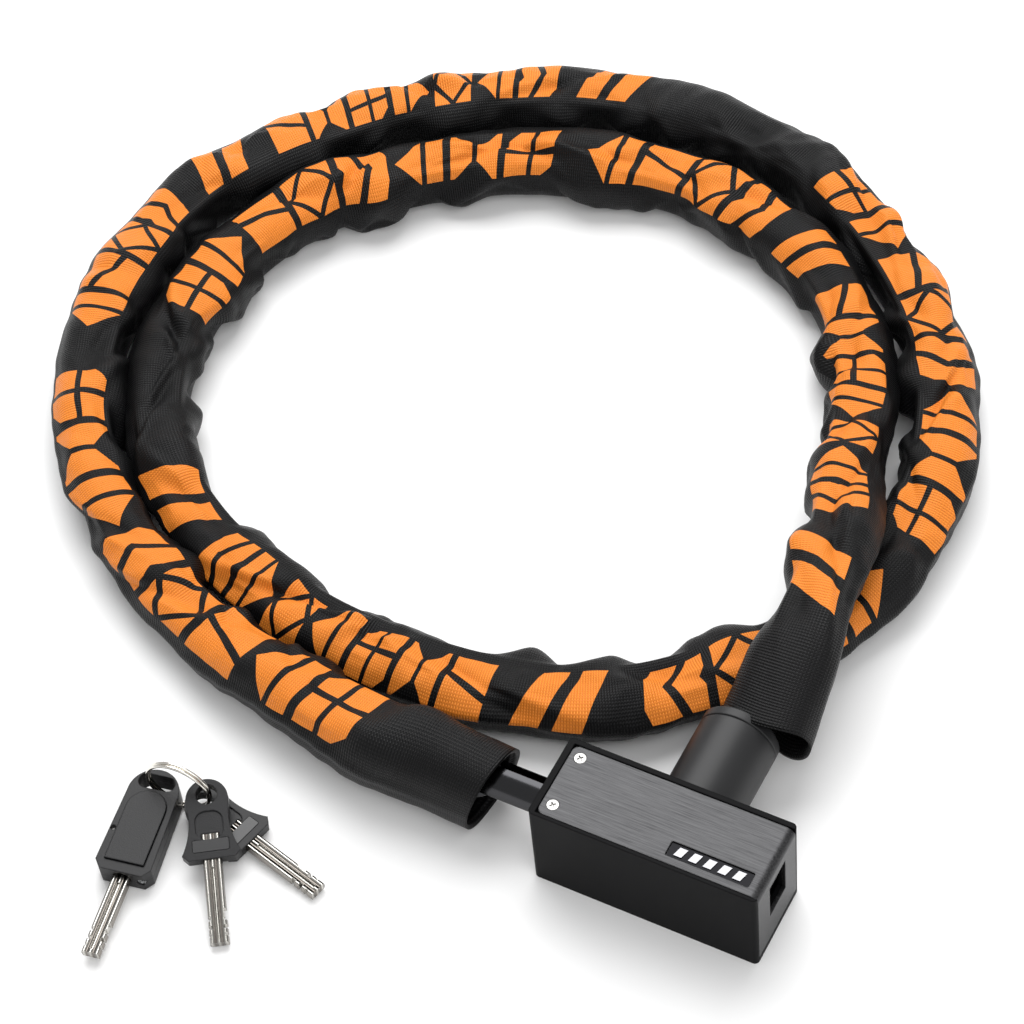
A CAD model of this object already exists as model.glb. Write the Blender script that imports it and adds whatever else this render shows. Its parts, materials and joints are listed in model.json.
import json
import math

import bpy
import numpy as np
from mathutils import Matrix, Vector


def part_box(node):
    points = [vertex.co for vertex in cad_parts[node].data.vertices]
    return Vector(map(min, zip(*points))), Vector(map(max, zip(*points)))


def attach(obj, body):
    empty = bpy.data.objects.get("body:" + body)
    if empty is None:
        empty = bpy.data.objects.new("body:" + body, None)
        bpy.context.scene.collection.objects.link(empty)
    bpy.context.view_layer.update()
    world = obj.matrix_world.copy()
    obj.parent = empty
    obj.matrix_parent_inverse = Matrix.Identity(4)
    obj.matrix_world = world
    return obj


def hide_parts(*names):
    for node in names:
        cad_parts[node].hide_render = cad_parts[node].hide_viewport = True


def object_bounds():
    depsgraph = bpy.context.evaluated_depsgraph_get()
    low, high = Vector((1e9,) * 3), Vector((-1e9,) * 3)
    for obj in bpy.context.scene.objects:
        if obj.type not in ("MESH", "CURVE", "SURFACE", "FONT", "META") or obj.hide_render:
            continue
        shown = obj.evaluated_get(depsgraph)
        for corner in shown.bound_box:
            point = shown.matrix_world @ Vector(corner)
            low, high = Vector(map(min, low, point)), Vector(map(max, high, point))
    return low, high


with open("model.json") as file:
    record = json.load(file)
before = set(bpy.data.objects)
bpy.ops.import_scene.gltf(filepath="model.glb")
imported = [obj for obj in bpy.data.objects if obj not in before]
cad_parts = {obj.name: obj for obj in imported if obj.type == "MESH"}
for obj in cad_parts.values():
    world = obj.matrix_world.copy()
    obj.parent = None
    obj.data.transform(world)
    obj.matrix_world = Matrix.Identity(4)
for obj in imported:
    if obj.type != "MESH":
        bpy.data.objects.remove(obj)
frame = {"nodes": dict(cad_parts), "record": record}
node = frame["nodes"]
size_cad = [list(v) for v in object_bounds()]
case_lo, case_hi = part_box("housing")
case_mid = (case_lo + case_hi) / 2
floor_z = case_lo.z
rnd = np.random.RandomState(7)


# ---- camera ----

LENS_MM = 123.05
CAMERA_FROM_CASE = Vector((0.2984, -0.5393, 0.9949))     # from the foot of the lock's body
CAMERA_BACK = Vector((0.3299, -0.5198, 0.788))
CAMERA_UP = Vector((-0.3249, 0.7212, 0.6118))


def make_camera():
    data = bpy.data.cameras.new("camera")
    data.lens = LENS_MM
    data.sensor_width = 36
    data.clip_start, data.clip_end = 0.05, 20
    cam = bpy.data.objects.new("camera", data)
    bpy.context.scene.collection.objects.link(cam)
    right = CAMERA_UP.cross(CAMERA_BACK).normalized()
    up = CAMERA_BACK.cross(right).normalized()
    turn = Matrix((right, up, CAMERA_BACK.normalized())).transposed().to_4x4()
    base = Vector((case_mid.x, case_mid.y, floor_z))
    cam.matrix_world = Matrix.Translation(base + CAMERA_FROM_CASE) @ turn
    bpy.context.scene.camera = cam


make_camera()


# ---- shader helpers ----

class Ex:
    """A shader value that can be reckoned with: each operation adds a Math node."""

    def __init__(self, tree, socket):
        self.tree, self.socket = tree, socket

    def op(self, kind, *others, clamp=False):
        n = self.tree.nodes.new("ShaderNodeMath")
        n.operation = kind
        n.use_clamp = clamp
        for i, v in enumerate((self, *others)):
            if isinstance(v, Ex):
                self.tree.links.new(v.socket, n.inputs[i])
            else:
                n.inputs[i].default_value = float(v)
        return Ex(self.tree, n.outputs[0])

    def __add__(self, o): return self.op("ADD", o)
    def __sub__(self, o): return self.op("SUBTRACT", o)
    def __mul__(self, o): return self.op("MULTIPLY", o)
    def __truediv__(self, o): return self.op("DIVIDE", o)
    def abs(self): return self.op("ABSOLUTE")
    def floor(self): return self.op("FLOOR")
    def fract(self): return self.op("FRACT")
    def cos(self): return self.op("COSINE")
    def max(self, o): return self.op("MAXIMUM", o)
    def over(self, o): return self.op("GREATER_THAN", o)
    def under(self, o): return self.op("LESS_THAN", o)
    def is_about(self, o, eps): return self.op("COMPARE", o, eps)
    def clamped(self): return self.op("ADD", 0.0, clamp=True)


class Mat:
    """A material with a Principled shader, and short ways to add textures to it."""

    def __init__(self, name, color, rough, metal=0.0, **sockets):
        self.mat = bpy.data.materials.new(name)
        self.mat.use_nodes = True
        self.mat.diffuse_color = (*color, 1)
        self.tree = self.mat.node_tree
        self.bsdf = self.tree.nodes["Principled BSDF"]
        self.bsdf.inputs["Base Color"].default_value = (*color, 1)
        self.bsdf.inputs["Roughness"].default_value = rough
        self.bsdf.inputs["Metallic"].default_value = metal
        for key, v in sockets.items():
            self.bsdf.inputs[key.replace("_", " ")].default_value = v
        self.normal = None

    def link(self, a, b):
        self.tree.links.new(a.socket if isinstance(a, Ex) else a, b)

    def new(self, kind, **props):
        n = self.tree.nodes.new("ShaderNode" + kind)
        for k, v in props.items():
            setattr(n, k, v)
        return n

    def coords(self, scale=(1, 1, 1)):
        tc, mp = self.new("TexCoord"), self.new("Mapping")
        mp.inputs["Scale"].default_value = scale
        self.link(tc.outputs["Object"], mp.inputs["Vector"])
        return mp.outputs[0]

    def noise(self, scale, detail=2.0, rough=0.5, stretch=(1, 1, 1)):
        n = self.new("TexNoise")
        n.inputs["Scale"].default_value = scale
        n.inputs["Detail"].default_value = detail
        n.inputs["Roughness"].default_value = rough
        self.link(self.coords(stretch), n.inputs["Vector"])
        return Ex(self.tree, n.outputs["Fac"])

    def uv(self, name):
        n, s = self.new("UVMap"), self.new("SeparateXYZ")
        n.uv_map = name
        self.link(n.outputs[0], s.inputs[0])
        return Ex(self.tree, s.outputs[0]), Ex(self.tree, s.outputs[1])

    def xyz(self):
        s = self.new("SeparateXYZ")
        self.link(self.coords(), s.inputs[0])
        return [Ex(self.tree, s.outputs[i]) for i in range(3)]

    def mix(self, fac, a, b):
        """Colour a where fac is 0 and b where it is 1; each is a colour or another mix."""
        n = self.new("Mix", data_type="RGBA")
        self.link(fac, n.inputs[0])
        for v, i in ((a, 6), (b, 7)):
            if isinstance(v, tuple):
                n.inputs[i].default_value = (*v, 1)
            else:
                self.link(v, n.inputs[i])
        return n.outputs[2]

    def bevel(self, radius):
        n = self.new("Bevel")
        n.samples = 4
        n.inputs["Radius"].default_value = radius
        self.normal = n.outputs[0]
        self.link(self.normal, self.bsdf.inputs["Normal"])

    def bump(self, height, distance, strength=1.0):
        n = self.new("Bump")
        n.inputs["Strength"].default_value = strength
        n.inputs["Distance"].default_value = distance
        self.link(height, n.inputs["Height"])
        if self.normal:
            self.link(self.normal, n.inputs["Normal"])
        self.normal = n.outputs[0]
        self.link(self.normal, self.bsdf.inputs["Normal"])

    def color(self, socket):
        self.link(socket, self.bsdf.inputs["Base Color"])

    def rough(self, value):
        self.link(value, self.bsdf.inputs["Roughness"])


# ---- sleeve ----

# The part's own route points, in millimetres: x, y, z, width, height
ROUTE_MM = [
    (-63, -1, 17, 29, 33.6), (-84, 0, 17, 29, 33.6), (-108.5, 0, 17.4, 29, 34.4),
    (-148.6, 8.1, 14, 27.6, 27.8), (-191.4, 20.2, 12.5, 24.6, 24.3),
    (-237, 44.6, 12.5, 24.3, 24.4), (-273, 80.3, 12.5, 24.3, 24.4),
    (-294.2, 127.9, 12, 27.5, 23.4), (-297.1, 177.2, 11.8, 29, 23), (-281.8, 218.8, 11.8, 29, 23),
    (-241.4, 265.8, 11.8, 29, 23), (-190.3, 297.3, 11.8, 29, 23), (-137.7, 308.6, 11.8, 29, 23),
    (-86.8, 300.4, 12.1, 26.9, 23.6), (-42.6, 275.2, 12.4, 25.2, 24.1),
    (-4.7, 236, 12.4, 25.3, 24.1), (14.2, 194.5, 12.1, 28.1, 23.5), (18.6, 157, 11, 27.2, 21.4),
    (14.3, 129.2, 10.3, 27.2, 20.2), (1.6, 99.9, 10.3, 29, 20.2), (-18, 75, 10.4, 29, 20.4),
    (-44, 52.4, 11, 29, 21.2), (-77.8, 39.1, 11.8, 29, 23), (-117.1, 34.5, 12, 27.5, 23.4),
    (-161, 38.5, 12.4, 25.2, 24.1), (-206, 54.4, 12.5, 24.3, 24.4), (-241, 80.9, 12.5, 24.3, 24.4),
    (-262, 119.4, 12, 27.2, 23.5), (-266.7, 162.7, 11.9, 28.4, 23.2),
    (-255.1, 203.8, 11.8, 29, 23), (-227.5, 236, 11.8, 29, 23), (-188.7, 262.1, 11.8, 29, 23),
    (-139.6, 276.6, 11.8, 29, 23), (-95.9, 272.1, 12.2, 26.2, 23.8),
    (-53.8, 251.4, 12.4, 25.2, 24.1), (-23.1, 212.1, 13.4, 25.9, 23.4),
    (-7.8, 164.2, 21.4, 27.2, 22), (5, 122, 31.5, 27.2, 22.4), (9, 92, 32.2, 29, 23.6),
    (11, 58, 21.4, 32.4, 27)]


def smooth_route(points, steps=24):
    """The route in metres, as a smooth curve through the points."""
    p = np.array(points, float) / 1000
    out = []
    last = len(p) - 1
    for i in range(last):
        a = p[i - 1] if i else 2 * p[0] - p[1]
        b, c = p[i], p[i + 1]
        d = p[i + 2] if i < last - 1 else 2 * p[last] - p[last - 1]
        for k in range(steps):
            t = k / steps
            out.append((2 * b + (c - a) * t + (2 * a - 5 * b + 4 * c - d) * t * t
                        + (3 * b - a - 3 * c + d) * t ** 3) / 2)
    out.append(p[last])
    return np.array(out)


route = smooth_route(ROUTE_MM)
route_s = np.r_[0, np.cumsum(np.linalg.norm(np.diff(route[:, :3], axis=0), axis=1))]
sleeve_l = route_s[-1]


def on_route(s):
    return np.stack([np.interp(s, route_s, route[:, k]) for k in range(5)], axis=-1)


def frames(s, step=0.003):
    """Middle, tangent, side (to the outside of the loops) and up, at distances along the sleeve."""
    c = on_route(s)
    t = on_route(np.minimum(s + step, sleeve_l))[:, :3] - on_route(np.maximum(s - step, 0))[:, :3]
    t /= np.linalg.norm(t, axis=1)[:, None]
    side = np.cross([0, 0, 1], t)
    side /= np.linalg.norm(side, axis=1)[:, None]
    return c, t, side, np.cross(t, side)


# Woven print. Kinds 1 to 7 are stencil blocks, STRIPES is a pair of slanted stripes.
STRIPES = 8
ROWS = ([2, 1, 4, 5, 3, 6, 7, 2], [6, 4, 5, 3], [STRIPES], [4, 7, 2, 1, 5, 6, 3], [STRIPES])
# The three repeats: where each of the five rows starts and ends, along the sleeve
REPEATS = (
    ((.045, .254), (.272, .346), (.353, .382), (.388, .505), (.511, .541)),
    ((.625, .804), (.819, .918), (.926, .960), (.966, 1.085), (1.090, 1.127)),
    ((1.198, 1.374), (1.384, 1.471), (1.477, 1.503), (1.509, 1.632), (1.641, 1.676)))


def print_cells():
    """Start, end and kind of each block."""
    cells = []
    for repeat in REPEATS:
        for (s0, s1), kinds in zip(repeat, ROWS):
            pitch = (s1 - s0) / len(kinds)
            cells += [(s0 + i * pitch, s0 + (i + 1) * pitch, k) for i, k in enumerate(kinds)]
    return cells


# Angle of the print's middle round the sleeve, in degrees, at distances along it:
# 0 is the outer side, 90 the top
TURN = np.array([(0, 82), (.12, 80), (.20, 75), (.254, 72), (.31, 80), (.388, 74), (.541, 70),
                 (.625, 76), (.804, 72), (.916, 64), (.962, 60), (1.085, 62), (1.127, 80),
                 (1.198, 98), (1.374, 104), (1.471, 100), (1.507, 100), (1.632, 100), (1.714, 98)])


def waves(x, wavelength, seed, n=5):
    """Smooth random values about 0, within about 1, changing over that wavelength."""
    r = np.random.RandomState(seed)
    out = np.zeros_like(x)
    for _ in range(n):
        out += np.sin(x * 2 * math.pi / (wavelength * r.uniform(0.7, 1.6)) + r.uniform(0, 6.28))
    return out / n * 1.4


def folds(S, A, spots, depth, width, reach):
    """A valley for each spot: (s, angle, slant, depth scale, width scale).

    The folds fade over reach radians."""
    out = np.zeros_like(S)
    for s0, a0, slant, dk, wk in spots:
        near = np.abs(S[:, 0] - s0) < 0.06
        if not near.any():
            continue
        s, a = S[near], A[near]
        da = (a - a0 + math.pi) % (2 * math.pi) - math.pi
        line = s0 + slant * da
        w = width * wk * (0.55 + 0.9 * np.abs(da) / reach)
        x = (s - line) / w
        valley = -np.exp(-np.abs(x) ** 1.15) + 0.34 * np.exp(-((np.abs(x) - 1.9) / 0.9) ** 2)
        out[near] += depth * dk * valley * np.exp(-(da / reach) ** 2)
    return out


FLATNESS = 2.25             # 2 is an ellipse, more is boxier
PUCKER = 0.0068, 0.0094, 1.25       # depth, width and reach of the gathers on the inner side
PULL = 0.0040, 0.0070, 1.00         # the same for the pulled folds on top
LINK_PAIR = 0.0513          # length of two links under the cloth
MOUTH_FADE = 0.05           # the folds get calmer towards the two mouths


def sleeve_surface(s, ang, inset=0.0):
    """Points of the sleeve for distances s and angles ang, pulled in by inset."""
    c, t, side, up = frames(s)
    S, A = np.meshgrid(s, ang, indexing="ij")
    half_w = c[:, 3][:, None] / 2 + 0.0002
    half_h = c[:, 4][:, None] / 2
    ca, sa = np.cos(A), np.sin(A)
    # a soft flattened tube with a crease along its outer edge
    r = (np.abs(ca / half_w) ** FLATNESS + np.abs(sa / half_h) ** FLATNESS) ** (-1 / FLATNESS)
    crease = np.radians(8) + 0.16 * waves(s, 0.12, 3)[:, None]
    da = (A - crease + math.pi) % (2 * math.pi) - math.pi
    from_mouths = (np.clip(s / MOUTH_FADE, 0, 1)[:, None]
                   * np.clip((sleeve_l - s) / MOUTH_FADE, 0, 1)[:, None])
    calm = 0.25 + 0.75 * from_mouths
    d = 0.0011 * np.exp(-(da / 0.17) ** 2) * calm
    d += folds(S, A, PUCKERS, *PUCKER) * calm
    d += folds(S, A, PULLS, *PULL) * calm
    inner = np.exp(-(A % (2 * math.pi) - math.pi) ** 2)
    d -= 0.0006 * inner * calm
    d += 0.0018 * waves(S + 0.012 * np.sin(A + 1), 0.085, 21) * calm * (0.45 + inner)
    # links under the cloth, and slow unevenness
    d += 0.0005 * np.cos(2 * math.pi * S / LINK_PAIR + 0.6 * np.sin(2 * A)) * calm
    d += 0.0006 * waves(S + 0.01 * np.sin(A + 1), 0.045, 11) * calm
    d += 0.0003 * waves(S + 0.006 * A, 0.013, 12) * calm
    d += 0.0004 * waves(A + 3 * S, 1.9, 13)
    # the links leave the least room at the four corners, so the folds stop short of them
    room = 0.0014 + 0.0042 * np.abs(np.cos(2 * A)) ** 1.5
    d = np.where(d < -room / 2, -room + room / 2 * np.exp((d + room / 2) / (room / 2)), d)
    r = r + d - inset
    lat, high = r * ca, r * sa
    p = c[:, None, :3] + side[:, None] * lat[..., None] + up[:, None] * high[..., None]
    # the cut of the two mouths isn't square to the sleeve
    plug_lean = np.clip(1 - s / 0.045, 0, 1)[:, None] * (0.0015 * ca - 0.0035 * sa)
    corner = np.maximum(0, np.cos(A + 0.8)) ** 2
    anchor_lean = (np.clip(1 - (sleeve_l - s) / 0.03, 0, 1)[:, None]
                   * (0.0045 * np.maximum(sa, 0) + 0.0060 * corner))
    p += t[:, None] * (plug_lean + anchor_lean)[..., None]
    # the cloth lies flat on the floor
    low = floor_z + 0.0003
    z = p[..., 2]
    p[..., 2] = np.where(z < low, low + (z - low) * 0.02, z)
    return p


def make_spots():
    """Places of the gathers on the inner side and of the pulled folds on top."""
    puckers, pulls = [], []
    s = 0.06
    while s < sleeve_l - 0.04:
        puckers.append((s, math.radians(188 + rnd.uniform(-22, 18)), rnd.uniform(-0.009, 0.009),
                        rnd.choice([0.4, 0.7, 1.0, 1.4]), rnd.uniform(0.6, 1.5)))
        s += rnd.uniform(0.026, 0.060)
    s = 0.05
    while s < sleeve_l - 0.04:
        pulls.append((s, math.radians(rnd.uniform(30, 150)), rnd.uniform(-0.024, 0.024),
                      rnd.uniform(0.3, 1.2), rnd.uniform(0.6, 1.8)))
        s += rnd.uniform(0.016, 0.045)
    return puckers, pulls


PUCKERS, PULLS = make_spots()
CELLS = print_cells()
AROUND = 120                # points round the sleeve
ROUND_R = 0.0138            # metres of cloth for each radian round it
PRINT_HALF = 0.0132         # half the print's width
ROW_STEP = 0.0016
TURN_IN = 0.045             # the cloth turns in at both mouths and runs back inside this far
CLOTH = 0.0014


def make_sleeve():
    cuts = sorted({c for a, b, _ in CELLS for c in (a, b)})
    s = [0.0]
    for c in cuts + [sleeve_l]:
        n = max(1, int(math.ceil((c - s[-1]) / ROW_STEP)))
        s += [s[-1] + (c - s[-1]) * (k + 1) / n for k in range(n)] if c - s[-1] > 1e-9 else []
    s = np.array(s)
    ang = -math.pi / 2 + 2 * math.pi * np.arange(AROUND) / AROUND
    outer = sleeve_surface(s, ang)
    head = np.array([0.0004, 0.004, 0.010, 0.02, 0.03, TURN_IN])
    inner0 = sleeve_surface(head, ang, inset=CLOTH)
    inner1 = sleeve_surface(sleeve_l - head, ang, inset=CLOTH)
    rows = [*inner0[::-1], *outer, *inner1]
    row_s = [*head[::-1], *s, *(sleeve_l - head)]
    verts = np.concatenate(rows)
    nr = len(rows)
    faces, weave, prints = [], [], []
    cell_of = []
    mids = [(row_s[k] + row_s[k + 1]) / 2 for k in range(nr - 1)]
    for k in range(nr - 1):
        outer_row = len(head) <= k < len(head) + len(s) - 1
        cell_of.append(next((c for c in CELLS
                             if outer_row and c[0] - 1e-9 <= mids[k] <= c[1] + 1e-9), None))
    turn = np.radians(np.interp(row_s, TURN[:, 0], TURN[:, 1]))
    along = [i * ROW_STEP if i < len(head) else row_s[i] for i in range(nr)]
    for k in range(nr - 1):
        cell = cell_of[k]
        for i in range(AROUND):
            j = (i + 1) % AROUND
            a, b = k * AROUND, (k + 1) * AROUND
            faces.append((a + i, b + i, b + j, a + j))
            for row, col in ((k, i), (k + 1, i), (k + 1, i + 1), (k, i + 1)):
                theta = -math.pi / 2 + 2 * math.pi * col / AROUND
                weave.append((along[row], theta * ROUND_R))
                if cell:
                    share = min(1, max(0, (row_s[row] - cell[0]) / (cell[1] - cell[0])))
                    v = (theta - turn[row]) * ROUND_R / PRINT_HALF
                    prints.append((cell[2] + 0.01 + 0.98 * share, v))
                else:
                    prints.append((0.5, 9.0))
    mesh = bpy.data.meshes.new("sleeve")
    mesh.from_pydata(verts.tolist(), [], faces)
    for name, uvs in (("weave", weave), ("print", prints)):
        layer = mesh.uv_layers.new(name=name)
        layer.data.foreach_set("uv", np.array(uvs, np.float32).ravel())
    mesh.polygons.foreach_set("use_smooth", [True] * len(mesh.polygons))
    mesh.update()
    obj = bpy.data.objects.new("sleeve", mesh)
    bpy.context.scene.collection.objects.link(obj)
    return obj


sleeve = make_sleeve()
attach(sleeve, "lock_body")
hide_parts("fabric_sleeve", "sleeve_hem_plug", "sleeve_hem_anchor")


# ---- cloth ----

def stencil(m):
    """Mask of the woven blocks, from the print layer: the cell's kind, and the place in it."""
    u, q = m.uv("print")                    # q is -1..1 across the print
    kind = u.floor()
    p = (u.fract() - 0.01) / 0.98           # 0..1 along the cell
    inside = q.abs().under(0.97)
    x = p + q * 0.07 - 0.5                  # the slabs lean a little
    slab = x.abs().under(0.43) * inside

    def gap(x, at, half): return (x - at).abs().over(half)

    chevron = (x + q.abs() * 0.24 + 2.0) * 1.9
    nib = slab * (x * 1.9 + q).abs().under(1.45)
    shapes = {
        1: slab * x.under(-0.13).max((x * 2.1 + q.abs()).under(0.90) * x.over(-0.035)),
        2: nib * gap(q, 0.1, 0.10) * gap(x, 0.03, 0.045),
        3: slab * (chevron.fract() - 0.5).abs().under(0.37),
        4: slab * gap(q - x * 0.7, -0.1, 0.11),
        5: slab * gap(x.abs() * 2.3 + q.abs(), 0.98, 0.14),
        6: slab * x.over(0.13).max((q.abs() - x * 2.1).under(0.90) * x.under(0.035)),
        7: slab * (q.abs() - x.abs() * 1.9).under(0.30) * gap(x, 0.0, 0.045),
    }
    stripe = ((p + q * 0.14 - 0.5).abs() - 0.20).abs().under(0.135) * inside
    total = kind.is_about(STRIPES, 0.4) * stripe
    for k, shape in shapes.items():
        total = total + kind.is_about(k, 0.4) * shape
    return total.clamped()


RIB, PICK = 0.00092, 0.00115        # pitches of the weave, along and round the sleeve


def cloth_material():
    m = Mat("sleeve_cloth", (0.010, 0.010, 0.012), 0.43, IOR=1.29)
    mask = stencil(m)
    u, v = m.uv("weave")
    rib = (u * (2 * math.pi / RIB)).cos()
    pick = (v * (2 * math.pi / PICK)).cos()
    weave = rib * (pick * 0.20 + 0.30) + pick * 0.10 + 0.5
    fuzz = m.noise(900, 3)
    worn = m.noise(60, 4)
    dark = m.mix(weave.clamped(), (0.0003, 0.0003, 0.0004), (0.0046, 0.0046, 0.0052))
    orange = m.mix(weave.clamped(), (0.58, 0.135, 0.010), (1.0, 0.34, 0.050))
    orange = m.mix((worn * 0.35).clamped(), orange, (0.80, 0.20, 0.018))
    m.color(m.mix(mask, dark, orange))
    m.bump(weave + fuzz * 0.4 + mask * 0.5, 0.00030, 1.0)
    return m.mat


sleeve.data.materials.append(cloth_material())


# ---- finishes of the CAD nodes, one for each material slot ----

def finishes():
    out = {}

    def keep(name, m):
        out[name] = m.mat

    m = Mat("case_black", (0.0045, 0.0045, 0.005), 0.5, IOR=1.14)
    m.bevel(0.0006)
    m.bump(m.noise(2600, 2), 0.00008, 0.6)
    m.rough(m.noise(45, 3) * 0.10 + 0.40)
    keep("case_black", m)

    m = Mat("boss_black", (0.013, 0.013, 0.014), 0.44, IOR=1.42)
    m.bevel(0.0005)
    m.bump(m.noise(1900, 2), 0.00004, 0.4)
    keep("boss_black", m)

    m = Mat("cast_steel", (0.22, 0.22, 0.23), 0.42, 1.0)
    m.bump(m.noise(700, 3), 0.0001, 0.5)
    keep("cast_steel", m)

    m = Mat("brushed_plate", (0.12, 0.12, 0.125), 0.38, 1.0)
    m.bevel(0.0005)
    grain = m.noise(150, 4, 0.8, stretch=(0.30, 12, 12))
    fine = m.noise(420, 2, 0.7, stretch=(0.20, 9, 9))
    streak = ((grain * 0.6 + fine * 0.4 - 0.5) * 2.6 + 0.5).clamped()
    m.color(m.mix(streak, (0.018, 0.018, 0.019), (0.105, 0.105, 0.108)))
    m.rough(streak * 0.25 + 0.28)
    m.bump(streak, 0.00004, 0.7)
    keep("brushed_plate", m)

    m = Mat("screw_steel", (0.36, 0.355, 0.345), 0.34, 1.0)
    m.bevel(0.0002)
    keep("screw_steel", m)

    m = Mat("badge_metal", (0.6, 0.6, 0.62), 0.25, 1.0)
    z = m.xyz()[2]
    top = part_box("badge_plate")[1].z
    raised = z.over(top - 0.0002)
    m.color(m.mix(raised, (0.010, 0.010, 0.011), (0.24, 0.24, 0.25)))
    keep("badge_metal", m)

    m = Mat("brass_barrel", (0.60, 0.46, 0.22), 0.35, 1.0)
    keep("brass_barrel", m)

    m = Mat("chain_steel", (0.045, 0.045, 0.048), 0.35, 1.0)
    m.bump(m.noise(500, 3), 0.0001, 0.4)
    keep("chain_steel", m)

    m = Mat("plug_steel", (0.05, 0.05, 0.053), 0.16, 1.0)
    m.bevel(0.0003)
    m.rough(m.noise(260, 4, 0.6, stretch=(0.12, 5, 5)) * 0.22 + 0.06)
    keep("plug_steel", m)

    m = Mat("oring_rubber", (0.01, 0.01, 0.01), 0.55)
    keep("oring_rubber", m)

    m = Mat("ring_steel", (0.80, 0.77, 0.71), 0.14, 1.0)
    keep("ring_steel", m)

    m = Mat("key_plastic", (0.005, 0.005, 0.006), 0.42, IOR=1.40)
    m.bevel(0.0006)
    m.bump(m.noise(2400, 2), 0.00008, 0.7)
    keep("key_plastic", m)

    m = Mat("label_grey", (0.014, 0.014, 0.015), 0.25)
    keep("label_grey", m)

    m = Mat("lens_clear", (0.9, 0.93, 0.95), 0.05, Transmission_Weight=0.9)
    keep("lens_clear", m)

    m = Mat("board_green", (0.02, 0.12, 0.04), 0.35)
    keep("board_green", m)
    return out


BLADE_RIB = 0.0023          # pitch of the milled ribs along a key's blade


def blade_finish(name, obj):
    """Nickel with ribs, whose direction and middle come from the blade's own points."""
    m = Mat(name, (0.44, 0.42, 0.38), 0.24, 1.0)
    m.bevel(0.00035)
    m.rough(m.noise(300, 3) * 0.2 + 0.12)
    co = np.array([tuple(obj.matrix_world @ v.co) for v in obj.data.vertices])
    mid = (co.max(0) + co.min(0)) / 2
    long = np.linalg.svd(co - co.mean(0), full_matrices=False)[2][0]
    x, y = m.xyz()[:2]
    wide = math.hypot(long[0], long[1])
    across = (x - mid[0]) * (-long[1] / wide) + (y - mid[1]) * (long[0] / wide)
    rib = (across * (2 * math.pi / BLADE_RIB)).cos() * 0.5 + 0.5
    m.color(m.mix(rib, (0.20, 0.18, 0.16), (0.62, 0.605, 0.565)))
    m.bump(rib, 0.0006, 1.0)
    return m.mat


looks = finishes()
for part in frame["record"]["subparts"]:
    o = node.get(part["node"])
    slot = part["material_slot"]
    blade = slot == "key_nickel"
    if o is None or not (blade or slot in looks):
        continue
    o.data.materials.clear()
    o.data.materials.append(blade_finish("nickel_" + part["node"], o) if blade else looks[slot])


# ---- stage and light ----

WORLD_LIGHT = 0.52


def make_stage():
    mesh = bpy.data.meshes.new("floor")
    r, z = 6.0, floor_z - 0.0001
    mesh.from_pydata([(-r, -r, z), (r, -r, z), (r, r, z), (-r, r, z)], [], [(0, 1, 2, 3)])
    floor = bpy.data.objects.new("floor", mesh)
    bpy.context.scene.collection.objects.link(floor)
    m = Mat("floor", (0.93, 0.93, 0.93), 0.9, Specular_IOR_Level=0.1)
    mesh.materials.append(m.mat)


def softbox(name, at, aim, size, power):
    data = bpy.data.lights.new(name, "AREA")
    data.shape, data.size, data.energy = "SQUARE", size, power
    o = bpy.data.objects.new(name, data)
    bpy.context.scene.collection.objects.link(o)
    o.location = at
    o.rotation_mode = "QUATERNION"
    o.rotation_quaternion = (Vector(aim) - Vector(at)).to_track_quat("-Z", "Y")


make_stage()
world = bpy.data.worlds.new("studio")
bpy.context.scene.world = world
world.use_nodes = True
background = world.node_tree.nodes["Background"].inputs
background["Color"].default_value = (1, 1, 1, 1)
background["Strength"].default_value = WORLD_LIGHT
loop = Vector(((size_cad[0][0] + size_cad[1][0]) / 2,
               (size_cad[0][1] + size_cad[1][1]) / 2, floor_z))
softbox("key", loop + Vector((-0.5, 0.9, 1.5)), loop, 1.7, 38)
softbox("fill", loop + Vector((0.9, -0.6, 1.3)), loop, 1.6, 11)
bpy.context.scene.view_settings.view_transform = "Standard"
bpy.context.scene.view_settings.exposure = 0.0
